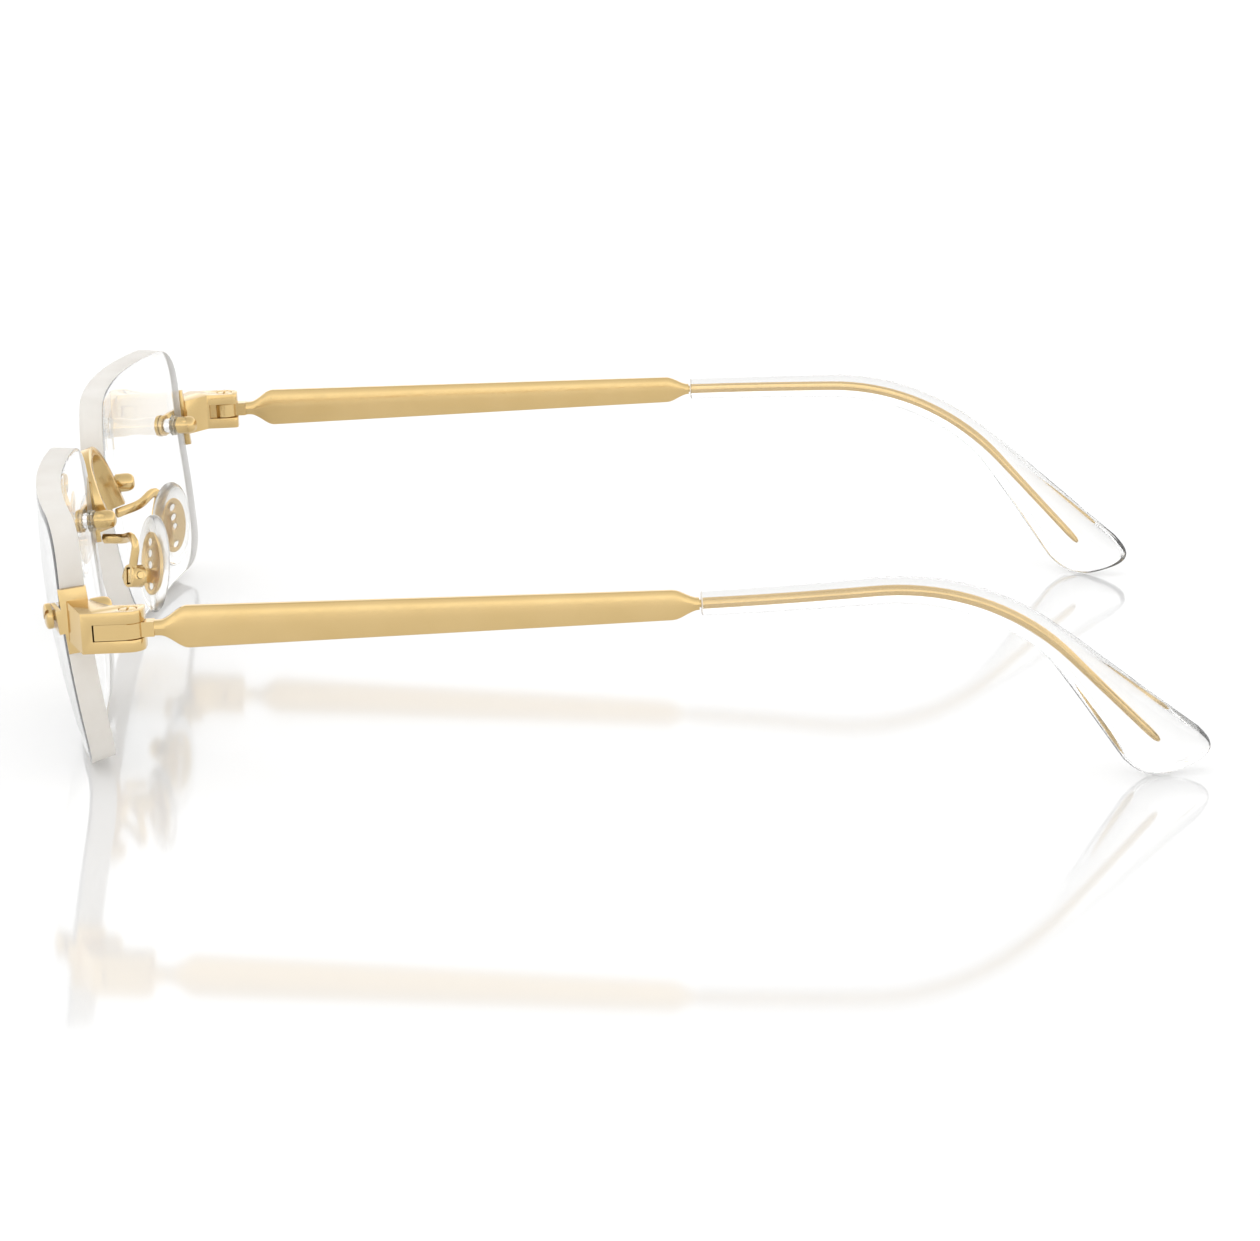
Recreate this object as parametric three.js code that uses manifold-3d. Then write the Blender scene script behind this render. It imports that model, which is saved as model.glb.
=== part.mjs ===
// Rimless eyeglasses, in millimetres, +Z up. The wearer's left is +X, the lenses face -Y and the temples run
// back along +Y. The glasses stand open on a table, on the bottoms of the lenses and the ends of the tips.
// Every piece of the left side is made once and mirrored for the right side.
import * as THREE from 'three';
import { mergeVertices } from 'three/addons/utils/BufferGeometryUtils.js';
import Module from 'manifold-3d';

const wasm = await Module();
wasm.setup();

// ---------------------------------------------------------------- driving dimensions
const lensWidth = 53.5;
const lensHeight = 36.2;
const lensThickness = 3.3;
const lensGap = 16.8;
const lensCurveRadius = 115;
const lensWrap = THREE.MathUtils.degToRad(6);
const lensTilt = THREE.MathUtils.degToRad(8.5);

const seatGap = 0.12;
const runningGap = 0.06;

const screwRadius = 0.7;
const screwHeadRadius = 1.7;
const screwHeadHeight = 0.9;
const screwSlotWidth = 0.45;
const screwSlotDepth = 0.4;
const screwHeadChamfer = 0.38;
const bushingFlangeRadius = 1.6;
const bushingFlangeHeight = 0.3;
const bushingWall = 0.24;
const backWasherRadius = 1.5;
const backWasherHeight = 0.3;
const capNutRadius = 1.35;
const capNutLength = 2.9;
const capNutBoreDepth = 1.9;
const capNutChamfer = 0.2;
// The dome's steps, each a share of the nut's radius and its height from the end.
const capNutDome = [[0, 0], [0.6, 0.12], [0.88, 0.5], [1, 1.1]];

const mountTabThickness = 0.6;
const mountTabRadius = 1.65;
const temporalScrewInset = 3.75;
const temporalScrewHeight = 4.6;
const nasalScrewInset = 2.75;
const nasalScrewHeight = 5.7;
const strapThickness = 0.9;
const strapLength = 8.6;
const strapProud = 0.35;
const riserInset = 0.1;
const solderOverlap = 0.05;

const hingeOutset = 5.8;
const hingeSetback = 14.5;
const hingeAboveScrew = 0.7;
const hingeFaceLength = 5.9;
const knuckleRadius = 2.05;
const hingeHeight = 5.3;
const blockFrontReach = 0.6;
const blockRearStep = 0.55;
const blockRearReach = 0.15;
const blockCorner = 0.4;
const strapSink = 0.3;
const tongueHeight = 2.1;
const tongueInner = 1.45;
const tongueOuter = 1.9;
const heelRadius = 4.7;
const tongueRootLength = 3.3;
const barrelInset = 0.12;
const hingeScrewRadius = 0.68;
const hingeScrewHeadRadius = 1.15;
const hingeScrewHeadHeight = 0.5;
const hingeScrewSunk = 0.02;
const hingeScrewSlotWidth = 0.32;
const hingeScrewSlotDepth = 0.25;

const templeRise = THREE.MathUtils.degToRad(2.6);
const bladeLength = 73;
const bladeTaperLength = 3.5;
const bladeFrontHeight = 5.5;
const bladeBackHeight = 3.9;
const bladeFrontThickness = 1.9;
const bladeBackThickness = 1.5;
const bladeEndHeight = 1.5;
const bladeRoot = 0.8;
const neckLength = 3.9;
const neckHeight = 1.95;
const flareLength = 3.7;
const wireRadius = 0.5;
const wirePointRadius = 0.2;
const wireEnd = 141.6;
const wirePointLength = 2;
const bendStart = 95.6;
const bendRadius = 34;
const bendDrop = THREE.MathUtils.degToRad(48.3);
const inwardStart = 64;
const inwardRate = 0.0027;
const tipStartRadius = 1.57;
const tipEnd = 147.3;
const tipLean = 0.45;
const tipGrowth = 0.0085;
const tipBoreClearance = 0.16;
const tipPaddleStart = 119;
const tipPaddleGrowth = 0.145;
const tipPaddleEase = 4;
const tipPaddleThickness = 3.6;
const tipRoundLength = 5;
const tipRoundPower = 3;

const bridgeRise = 6.9;
const bridgeThickness = 1.25;
const bridgeDepth = 2.9;
const bridgeSpringAboveScrew = 1.3;
const bridgeLegBelowScrew = 2.3;
const bridgeLean = THREE.MathUtils.degToRad(22);
const bridgeSetback = 2.2;
const bridgeLegClearance = 0.05;

const padLength = 13.8;
const padWidth = 7.6;
const padThickness = 2.6;
const padCoreLength = 8.8;
const padCoreWidth = 4.6;
const padCoreThickness = 0.4;
const padReach = 3.2;
const padStemDrop = 1.8;
const padStemWidth = 1.9;
const padStemThickness = 0.8;
const padStemFoot = 0.9;
const padBoxRadius = 1.6;
const padBoxLength = 2.0;
const padScrewRadius = 0.5;
const padScrewHeadRadius = 0.85;
const padScrewHeadHeight = 0.5;
const padScrewProud = 0.1;
const padBoxOutset = 6.45;
const padBoxBehindLens = 5.55;
const padBoxBelowArm = 3.8;
const guardArmHeight = 1.45;
const guardArmThickness = 0.85;
// Where the arm passes: the first offset is from its foot, and the others are from the pad box.
const guardArmStart = [2.9, 3.0, 0.7];
const guardArmBends = [[-0.4, 0, 5.4], [0.75, 0.6, 4.6], [0.5, 0.3, 2.6], [0.2, 0, 0.8]];
const guardArmFace = [0.75, -0.66, 0];

const coarse = 12;
const fine = 20;
const round = 48;

// ---------------------------------------------------------------- materials
const gold = { color: 0xd9b877, roughness: 0.25, metalness: 1 };
const clear = { color: 0xf1f3f2, roughness: 0.05, metalness: 0, transparent: true, opacity: 0.35 };
const clearTip = { color: 0xf4f3ee, roughness: 0.1, metalness: 0, transparent: true, opacity: 0.45 };
const nylon = { color: 0xf0efe8, roughness: 0.4, metalness: 0, transparent: true, opacity: 0.6 };

// ---------------------------------------------------------------- solids
// A closed geometry as a manifold solid, with its faces turned outwards.
function solid(geometry) {
  const bare = geometry.clone();
  bare.deleteAttribute('normal');
  bare.deleteAttribute('uv');
  const merged = mergeVertices(bare, 1e-4);
  const vertProperties = new Float32Array(merged.attributes.position.array);
  const triVerts = new Uint32Array(merged.index.array);
  const made = new wasm.Manifold(new wasm.Mesh({ numProp: 3, vertProperties, triVerts }));
  if (made.volume() > 0) return made;
  for (let i = 0; i < triVerts.length; i += 3) {
    const swapped = triVerts[i + 1];
    triVerts[i + 1] = triVerts[i + 2];
    triVerts[i + 2] = swapped;
  }
  return new wasm.Manifold(new wasm.Mesh({ numProp: 3, vertProperties, triVerts }));
}

function geometryOf(manifold) {
  const mesh = manifold.getMesh();
  const points = new Float32Array(mesh.numVert * 3);
  for (let i = 0; i < mesh.numVert; i += 1) {
    for (let k = 0; k < 3; k += 1) points[i * 3 + k] = mesh.vertProperties[i * mesh.numProp + k];
  }
  const geometry = new THREE.BufferGeometry();
  geometry.setAttribute('position', new THREE.BufferAttribute(points, 3));
  geometry.setIndex(new THREE.BufferAttribute(new Uint32Array(mesh.triVerts), 1));
  return geometry;
}

function joined(...geometries) {
  return geometryOf(geometries.map(solid).reduce((whole, piece) => whole.add(piece)));
}

function cut(geometry, ...tools) {
  return geometryOf(tools.map(solid).reduce((whole, tool) => whole.subtract(tool), solid(geometry)));
}

function placed(geometry, matrix) {
  return geometry.clone().applyMatrix4(matrix);
}

// A box between two corners.
function block(low, high) {
  const size = high.map((value, i) => value - low[i]);
  const centre = high.map((value, i) => (value + low[i]) / 2);
  return new THREE.BoxGeometry(...size).translate(...centre);
}

// A turned piece about Z from a profile of [radius, height] points.
function turned(profile, sides) {
  const points = profile.map(([radius, height]) => new THREE.Vector2(radius, height));
  return new THREE.LatheGeometry(points, sides).rotateX(Math.PI / 2);
}

function rod(radius, from, to, sides = coarse) {
  return turned([[0, from], [radius, from], [radius, to], [0, to]], sides);
}

function ring(outer, inner, from, to, sides = coarse) {
  return turned([[inner, from], [outer, from], [outer, to], [inner, to], [inner, from]], sides);
}

// A plan shape extruded to both sides of its own plane.
function slab(shape, height, curveSegments = 8) {
  const settings = { depth: height, bevelEnabled: false, curveSegments };
  return new THREE.ExtrudeGeometry(shape, settings).translate(0, 0, -height / 2);
}

function polygon(points) {
  return new THREE.Shape(points.map(([x, y]) => new THREE.Vector2(x, y)));
}

// A bar through a list of rings: each ring has its centre and its two half-axes.
function lofted(sides, rings, turn = 0) {
  const geometry = new THREE.CylinderGeometry(1, 1, 1, sides, rings.length - 1, false, turn);
  const position = geometry.attributes.position;
  const point = new THREE.Vector3();
  for (let i = 0; i < position.count; i += 1) {
    const at = rings[Math.round((position.getY(i) + 0.5) * (rings.length - 1))];
    point.copy(at.centre).addScaledVector(at.across, position.getX(i));
    point.addScaledVector(at.up, position.getZ(i));
    position.setXYZ(i, point.x, point.y, point.z);
  }
  return geometry;
}

// ---------------------------------------------------------------- frames of the left side
// The lens frame: X across the lens towards the temple, Y up the lens, Z forwards out of its front.
const acrossLens = new THREE.Vector3(Math.cos(lensWrap), Math.sin(lensWrap), 0);
const upLens = new THREE.Vector3(
  Math.sin(lensWrap) * Math.sin(lensTilt),
  -Math.cos(lensWrap) * Math.sin(lensTilt),
  Math.cos(lensTilt),
);
const outOfLens = new THREE.Vector3().crossVectors(acrossLens, upLens);
const lensCentre = new THREE.Vector3(
  lensGap / 2 + (lensWidth / 2) * Math.cos(lensWrap),
  -hingeSetback,
  (lensHeight / 2) * Math.cos(lensTilt) - lensSag(0, lensHeight / 2) * Math.sin(lensTilt),
);
const lensFrame = new THREE.Matrix4().makeBasis(acrossLens, upLens, outOfLens).setPosition(lensCentre);

function lensSag(u, v) {
  return lensCurveRadius - Math.sqrt(lensCurveRadius ** 2 - u ** 2 - v ** 2);
}

// The frame of a hole through the lens: its origin is on the front surface and Z is that surface's normal.
function holeFrame(u, v) {
  const normal = new THREE.Vector3(u, v, lensCurveRadius - lensSag(u, v)).divideScalar(lensCurveRadius);
  const across = new THREE.Vector3(normal.z, 0, -normal.x).normalize();
  const up = new THREE.Vector3().crossVectors(normal, across);
  const local = new THREE.Matrix4().makeBasis(across, up, normal).setPosition(u, v, -lensSag(u, v));
  return lensFrame.clone().multiply(local);
}

function originOf(matrix) {
  return new THREE.Vector3().setFromMatrixPosition(matrix);
}

const temporalHole = [lensWidth / 2 - temporalScrewInset, temporalScrewHeight];
const nasalHole = [-lensWidth / 2 + nasalScrewInset, nasalScrewHeight];
const temporalFrame = holeFrame(...temporalHole);
const nasalFrame = holeFrame(...nasalHole);

// The hinge frame: the origin is the middle of the pin, X is outwards, Y is back along the temple and Z is up
// the pin.
const hingeCentre = new THREE.Vector3(
  lensCentre.x + (lensWidth / 2) * Math.cos(lensWrap) + hingeOutset,
  0,
  originOf(temporalFrame).z + hingeAboveScrew,
);
const hingeFrame = new THREE.Matrix4().makeBasis(
  new THREE.Vector3(1, 0, 0),
  new THREE.Vector3(0, Math.cos(templeRise), Math.sin(templeRise)),
  new THREE.Vector3(0, -Math.sin(templeRise), Math.cos(templeRise)),
).setPosition(hingeCentre);

// The screw stack, measured along the hole from the front surface of the lens.
const flangeTo = -lensThickness - seatGap;
const flangeFrom = flangeTo - bushingFlangeHeight;
const tabFrom = seatGap;
const tabTo = tabFrom + mountTabThickness;
const headFrom = tabTo + seatGap;
const headTo = headFrom + screwHeadHeight;
const backWasherTo = flangeFrom - seatGap;
const backWasherFrom = backWasherTo - backWasherHeight;
const capNutTo = backWasherFrom - seatGap;
const capNutFrom = capNutTo - capNutLength;
const screwEnd = capNutTo - capNutBoreDepth + seatGap;
const bushingBoreRadius = screwRadius + runningGap;
const bushingSleeveRadius = bushingBoreRadius + bushingWall;
const lensHoleRadius = bushingSleeveRadius + seatGap;
const clearanceHoleRadius = screwRadius + seatGap;

// ---------------------------------------------------------------- lens
function lensOutline() {
  const w = lensWidth / 2;
  const h = lensHeight / 2;
  // Corners of the outline, each with the length of straight edge that its round takes.
  const corners = [
    [w, h - 1, 8], [2, h + 0.5, 16], [-w, h - 0.4, 10], [-w, -2, 6], [-w + 4.4, -h + 1.6, 9],
    [-2, -h - 0.4, 11], [w - 3.6, -h + 0.8, 6.5], [w, -5, 5],
  ].map(([x, y, length]) => ({ at: new THREE.Vector2(x, y), length }));
  const shape = new THREE.Shape();
  // A round takes no more than its share of a short edge.
  const roundTowards = (corner, other) => {
    const edge = corner.at.distanceTo(other.at);
    const share = Math.min(1, (0.98 * edge) / (corner.length + other.length));
    return other.at.clone().sub(corner.at).setLength(corner.length * share).add(corner.at);
  };
  corners.forEach((corner, i) => {
    const { at } = corner;
    const start = roundTowards(corner, corners[(i + corners.length - 1) % corners.length]);
    const end = roundTowards(corner, corners[(i + 1) % corners.length]);
    if (i === 0) shape.moveTo(start.x, start.y);
    else shape.lineTo(start.x, start.y);
    shape.quadraticCurveTo(at.x, at.y, end.x, end.y);
  });
  // The outline is cut to the lens's boxed width and height.
  const points = shape.getPoints(5);
  const box = new THREE.Box2().setFromPoints(points);
  const size = box.getSize(new THREE.Vector2());
  const middle = box.getCenter(new THREE.Vector2());
  return polygon(points.slice(0, -1).map((point) => [
    ((point.x - middle.x) * lensWidth) / size.x,
    ((point.y - middle.y) * lensHeight) / size.y,
  ]));
}

function lensBlank() {
  const margin = 5;
  const geometry = new THREE.BoxGeometry(lensWidth + 2 * margin, lensHeight + 2 * margin, 1, 12, 8, 1);
  const position = geometry.attributes.position;
  for (let i = 0; i < position.count; i += 1) {
    const u = position.getX(i);
    const v = position.getY(i);
    const depth = position.getZ(i) > 0 ? 0 : lensThickness;
    const scale = 1 - depth / lensCurveRadius;
    const front = lensCurveRadius - lensSag(u, v);
    position.setXYZ(i, u * scale, v * scale, front * scale - lensCurveRadius);
  }
  return geometry;
}

function lens() {
  const edge = slab(lensOutline(), 4 * lensThickness + 8);
  const blank = geometryOf(solid(placed(lensBlank(), lensFrame)).intersect(solid(placed(edge, lensFrame))));
  const drill = rod(lensHoleRadius, -2 * lensThickness, lensThickness);
  return cut(blank, placed(drill, temporalFrame), placed(drill, nasalFrame));
}

// ---------------------------------------------------------------- lens screws
function lensBushing() {
  const sleeveEnd = -seatGap;
  return turned([
    [bushingBoreRadius, flangeFrom],
    [bushingFlangeRadius, flangeFrom],
    [bushingFlangeRadius, flangeTo],
    [bushingSleeveRadius, flangeTo],
    [bushingSleeveRadius, sleeveEnd],
    [bushingBoreRadius, sleeveEnd],
    [bushingBoreRadius, flangeFrom],
  ], coarse);
}

function lensScrew() {
  const body = turned([
    [0, screwEnd],
    [screwRadius, screwEnd],
    [screwRadius, headFrom],
    [screwHeadRadius, headFrom],
    [screwHeadRadius, headTo - screwHeadChamfer],
    [screwHeadRadius - screwHeadChamfer, headTo],
    [0, headTo],
  ], coarse);
  const slotHalf = screwSlotWidth / 2;
  const reach = 2 * screwHeadRadius;
  return cut(body, block([-reach, -slotHalf, headTo - screwSlotDepth], [reach, slotHalf, headTo + reach]));
}

function backWasher() {
  return ring(backWasherRadius, clearanceHoleRadius, backWasherFrom, backWasherTo);
}

function capNut() {
  const bore = screwRadius + runningGap;
  return turned([
    ...capNutDome.map(([share, height]) => [capNutRadius * share, capNutFrom + height]),
    [capNutRadius, capNutTo - capNutChamfer],
    [capNutRadius - capNutChamfer, capNutTo],
    [bore, capNutTo],
    [bore, capNutTo - capNutBoreDepth],
    [0, capNutTo - capNutBoreDepth],
  ], coarse);
}

// A strap that hugs the lens edge, with the tab that the screw clamps on the front of the lens.
// side is 1 on the temple's edge and -1 on the nose's edge.
function edgeMount(side, hole, frame) {
  const edgeFace = lensWidth / 2 + seatGap;
  const sag = lensSag(lensWidth / 2, hole[1]);
  const back = -sag - lensThickness - strapProud;
  const strapLow = [side * edgeFace, hole[1] - strapLength / 2, back];
  const strapHigh = [side * (edgeFace + strapThickness), hole[1] + strapLength / 2, -sag];
  const riserHalf = mountTabRadius - riserInset;
  const tabTop = tabTo - sag;
  const riserLow = [strapLow[0], hole[1] - riserHalf, back];
  const riserHigh = [strapHigh[0], hole[1] + riserHalf, tabTop];
  const reach = Math.abs(side * edgeFace - hole[0]) + strapThickness - solderOverlap;
  const tabBar = sorted([0, -riserHalf, tabFrom], [side * reach, riserHalf, tabTo]);
  return [
    placed(sorted(strapLow, strapHigh), lensFrame),
    placed(sorted(riserLow, riserHigh), lensFrame),
    placed(tabBar, frame),
    placed(rod(mountTabRadius, tabFrom, tabTo), frame),
  ];
}

// A box between any two opposite corners.
function sorted(one, other) {
  const low = one.map((value, i) => Math.min(value, other[i]));
  const high = one.map((value, i) => Math.max(value, other[i]));
  return block(low, high);
}

// ---------------------------------------------------------------- end piece
// The part of a disc about the pin that reaches forwards of it, between two sides: the tongue's heel, or the
// room for it.
function heel(radius, inner, outer, halfHeight) {
  const disc = rod(radius, -halfHeight, halfHeight, round);
  const sides = block([inner, -2 * radius, -2 * halfHeight], [outer, 0, 2 * halfHeight]);
  return geometryOf(solid(disc).intersect(solid(sides)));
}

function endPiece() {
  const strapX = -hingeOutset + seatGap + strapSink;
  const edgeDepth = lensSag(lensWidth / 2, temporalHole[1]);
  const strapAt = (depth) => new THREE.Vector3(lensWidth / 2, temporalHole[1], -edgeDepth - depth)
    .applyMatrix4(lensFrame)
    .applyMatrix4(hingeFrame.clone().invert());
  const plan = new THREE.Shape();
  plan.moveTo(strapX, strapAt(0).y + blockFrontReach);
  plan.lineTo(knuckleRadius, -hingeFaceLength);
  plan.lineTo(knuckleRadius, 0);
  plan.absarc(0, 0, knuckleRadius, 0, Math.PI / 2, false);
  plan.lineTo(-knuckleRadius + blockCorner, knuckleRadius);
  plan.lineTo(-knuckleRadius, knuckleRadius - blockCorner);
  plan.lineTo(-knuckleRadius, -knuckleRadius - blockRearStep);
  plan.lineTo(strapX, strapAt(lensThickness + strapProud).y + blockRearReach);
  const slotHalf = tongueHeight / 2 + runningGap;
  const far = 2 * knuckleRadius;
  const stopFace = -tongueInner - seatGap;
  const knuckleSlot = block([-far, -knuckleRadius - 2 * seatGap, -slotHalf], [far, far, slotHalf]);
  const heelSlot = heel(heelRadius + 2 * seatGap, stopFace, far, slotHalf);
  const pinHole = rod(hingeScrewRadius + runningGap, -hingeHeight, hingeHeight);
  const recessFloor = hingeHeight / 2 - hingeScrewHeadHeight - seatGap;
  const recess = rod(hingeScrewHeadRadius + seatGap, recessFloor, hingeHeight);
  const knuckle = cut(slab(plan, hingeHeight), knuckleSlot, heelSlot, pinHole, recess);
  const body = joined(placed(knuckle, hingeFrame), ...edgeMount(1, temporalHole, temporalFrame));
  return cut(body, placed(rod(clearanceHoleRadius, flangeFrom, headTo), temporalFrame));
}

function hingeScrew() {
  const top = hingeHeight / 2 - hingeScrewSunk;
  const neck = top - hingeScrewHeadHeight;
  const body = turned([
    [0, -hingeHeight / 2],
    [hingeScrewRadius, -hingeHeight / 2],
    [hingeScrewRadius, neck],
    [hingeScrewHeadRadius, neck],
    [hingeScrewHeadRadius, top],
    [0, top],
  ], coarse);
  const slotHalf = hingeScrewSlotWidth / 2;
  const reach = 2 * hingeScrewHeadRadius;
  const slot = block([-reach, -slotHalf, top - hingeScrewSlotDepth], [reach, slotHalf, top + reach]);
  return placed(cut(body, slot), hingeFrame);
}

// ---------------------------------------------------------------- temple
// The middle line of the temple in the hinge frame, by its length from the pin: straight, bent down behind
// the ear, straight again, and drifting inwards from halfway back.
function templeRing(length, halfAcross, halfUp, lean = 0) {
  const bent = THREE.MathUtils.clamp((length - bendStart) / bendRadius, 0, bendDrop);
  const past = Math.max(length - bendStart - bendRadius * bendDrop, 0);
  const back = Math.min(length, bendStart) + bendRadius * Math.sin(bent) + past * Math.cos(bendDrop);
  const down = bendRadius * (1 - Math.cos(bent)) + past * Math.sin(bendDrop);
  const beyond = Math.max(back - inwardStart, 0);
  const centre = new THREE.Vector3(-inwardRate * beyond ** 2, back, -down);
  const yaw = Math.atan(2 * inwardRate * beyond * Math.cos(bent));
  const turn = new THREE.Euler(-bent, 0, yaw, 'ZXY');
  const across = new THREE.Vector3(halfAcross, 0, 0).applyEuler(turn);
  const up = new THREE.Vector3(0, halfUp * lean, halfUp).applyEuler(turn);
  return { centre, across, up };
}

function lengths(from, to, steps) {
  return Array.from({ length: steps + 1 }, (_, i) => from + ((to - from) * i) / steps);
}

function blade() {
  const taperStart = bladeLength - bladeTaperLength;
  const hexagonReach = Math.cos(Math.PI / 6);
  const sections = [
    [bladeRoot, neckHeight, bladeFrontThickness],
    [neckLength, neckHeight, bladeFrontThickness],
  ];
  lengths(0, 1, 5).slice(1).forEach((part) => {
    const smooth = part * part * (3 - 2 * part);
    const height = THREE.MathUtils.lerp(neckHeight, bladeFrontHeight, smooth);
    sections.push([neckLength + flareLength * part, height, bladeFrontThickness]);
  });
  sections.push([taperStart, bladeBackHeight, bladeBackThickness]);
  sections.push([bladeLength, bladeEndHeight, bladeEndHeight]);
  const rings = sections.map(([length, height, thickness]) => (
    templeRing(length, thickness / 2, height / 2 / hexagonReach)
  ));
  return lofted(6, rings, Math.PI / 6);
}

function coreWire() {
  const inside = bladeLength - bladeTaperLength;
  const pointStart = wireEnd - wirePointLength;
  const shaft = lengths(inside, pointStart, 22).map((at) => templeRing(at, wireRadius, wireRadius));
  const point = templeRing(wireEnd, wirePointRadius, wirePointRadius);
  return lofted(8, [...shaft, point]);
}

function tongue() {
  const barrel = rod(knuckleRadius - barrelInset, -tongueHeight / 2, tongueHeight / 2, fine);
  const neckHalf = bladeFrontThickness / 2;
  const root = block([-neckHalf, 0, -neckHeight / 2], [neckHalf, tongueRootLength, neckHeight / 2]);
  return joined(barrel, heel(heelRadius, -tongueInner, tongueOuter, tongueHeight / 2), root);
}

function temple() {
  const pinHole = rod(hingeScrewRadius + runningGap, -hingeHeight, hingeHeight);
  return placed(cut(joined(tongue(), blade(), coreWire()), pinHole), hingeFrame);
}

// Half the height of the tip at a length along the temple.
function tipHalfHeight(length) {
  const slender = tipStartRadius + tipGrowth * (length - bladeLength);
  const paddle = Math.max(length - tipPaddleStart, 0);
  return slender + (tipPaddleGrowth * paddle ** 2) / (paddle + tipPaddleEase);
}

function templeTip() {
  const start = bladeLength + 2 * seatGap;
  const roundStart = tipEnd - tipRoundLength;
  const body = lengths(start, roundStart, 22).map((length) => [length, 1]);
  const end = [0.3, 0.55, 0.75, 0.9, 0.98].map((part) => [
    roundStart + tipRoundLength * part,
    (1 - part ** tipRoundPower) ** (1 / tipRoundPower),
  ]);
  const rings = [...body, ...end].map(([length, share]) => {
    const thick = THREE.MathUtils.smoothstep(length, start, roundStart);
    const halfAcross = THREE.MathUtils.lerp(tipStartRadius, tipPaddleThickness / 2, thick);
    const halfUp = tipHalfHeight(Math.min(length, roundStart)) * share;
    const lean = tipLean * THREE.MathUtils.smoothstep(length, tipPaddleStart, roundStart);
    return templeRing(length, halfAcross * share, halfUp, lean);
  });
  const boreRadius = wireRadius + tipBoreClearance;
  const bore = lengths(start - boreRadius, wireEnd + boreRadius, 22)
    .map((at) => templeRing(at, boreRadius, boreRadius));
  return placed(cut(lofted(12, rings), lofted(8, bore)), hingeFrame);
}

// ---------------------------------------------------------------- bridge
const bridgeSpring = originOf(nasalFrame).z + bridgeSpringAboveScrew;
const bridgeFoot = originOf(nasalFrame).z - bridgeLegBelowScrew;
const nasalBack = new THREE.Vector3(-lensWidth / 2, 0, -lensSag(lensWidth / 2, 0) - lensThickness)
  .applyMatrix4(lensFrame);

function bridge() {
  const leg = nasalBack.x - bridgeLegClearance;
  const inner = leg - bridgeThickness;
  const arch = new THREE.Shape();
  arch.moveTo(leg, bridgeFoot);
  arch.lineTo(leg, bridgeSpring);
  arch.absellipse(0, bridgeSpring, leg, bridgeRise, 0, Math.PI, false);
  arch.lineTo(-leg, bridgeFoot);
  arch.lineTo(-inner, bridgeFoot);
  arch.lineTo(-inner, bridgeSpring);
  arch.absellipse(0, bridgeSpring, inner, bridgeRise - bridgeThickness, Math.PI, 0, true);
  arch.lineTo(inner, bridgeFoot);
  const midDepth = lensSag(...nasalHole) + lensThickness / 2;
  const nasalEdge = new THREE.Vector3(-lensWidth / 2, nasalHole[1], -midDepth).applyMatrix4(lensFrame);
  const band = slab(arch, bridgeDepth, 7)
    .rotateX(Math.PI / 2)
    .translate(0, 0, -bridgeSpring)
    .rotateX(bridgeLean)
    .translate(0, nasalEdge.y + bridgeSetback, bridgeSpring);
  const mount = joined(...edgeMount(-1, nasalHole, nasalFrame));
  const mirror = new THREE.Matrix4().makeScale(-1, 1, 1);
  const body = joined(band, mount, placed(mount, mirror));
  const hole = placed(rod(clearanceHoleRadius, flangeFrom, headTo), nasalFrame);
  return cut(body, hole, placed(hole, mirror));
}

// ---------------------------------------------------------------- nose pads
// The pad frame: its origin is the middle of the pad's metal core, Y is up the pad and Z is towards the nose.
const padUp = new THREE.Vector3(-0.31, -0.03, 0.95).normalize();
const padOut = new THREE.Vector3(-0.55, 0.8, -0.2);
padOut.addScaledVector(padUp, -padOut.dot(padUp)).normalize();
const padAcross = new THREE.Vector3().crossVectors(padUp, padOut);
const armFoot = new THREE.Vector3(
  nasalBack.x,
  nasalBack.y + guardArmThickness / 2 + 2 * seatGap,
  bridgeFoot - guardArmHeight / 2 - seatGap,
);
const padBoxCentre = new THREE.Vector3(
  nasalBack.x + padBoxOutset,
  nasalBack.y + padBoxBehindLens,
  armFoot.z - padBoxBelowArm,
);
const padCentre = padBoxCentre.clone().addScaledVector(padOut, padReach).addScaledVector(padUp, padStemDrop);
const padFrame = new THREE.Matrix4().makeBasis(padAcross, padUp, padOut).setPosition(padCentre);

function ellipsePlate(width, length, thickness) {
  return rod(1, -thickness / 2, thickness / 2, fine).scale(width / 2, length / 2, 1);
}

function stemBlock(clearance) {
  const half = padStemWidth / 2 + clearance;
  const thin = padStemThickness / 2 + clearance;
  return block([-thin, -padStemDrop - half, -padReach - padStemFoot], [thin, -padStemDrop + half, clearance]);
}

function padScrewHole(radius, from, to) {
  return rod(radius, from, to)
    .rotateX(Math.PI / 2)
    .rotateZ(Math.PI / 2)
    .translate(0, -padStemDrop, -padReach);
}

function nosePad() {
  const body = new THREE.SphereGeometry(1, 16, 10).scale(padWidth / 2, padLength / 2, padThickness / 2);
  const pocketSize = [padCoreWidth, padCoreLength, padCoreThickness].map((size) => size + 2 * seatGap);
  const pocket = ellipsePlate(...pocketSize);
  return placed(cut(body, pocket, stemBlock(seatGap)), padFrame);
}

function padCore() {
  const plate = ellipsePlate(padCoreWidth, padCoreLength, padCoreThickness);
  return placed(cut(joined(plate, stemBlock(0)), padScrewHole(padScrewRadius + runningGap, -5, 5)), padFrame);
}

function padScrew() {
  const end = padBoxRadius + padScrewProud;
  const body = joined(
    padScrewHole(padScrewRadius, -end, end),
    padScrewHole(padScrewHeadRadius, end - padScrewProud / 2, end + padScrewHeadHeight),
  );
  return placed(body, padFrame);
}

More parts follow.
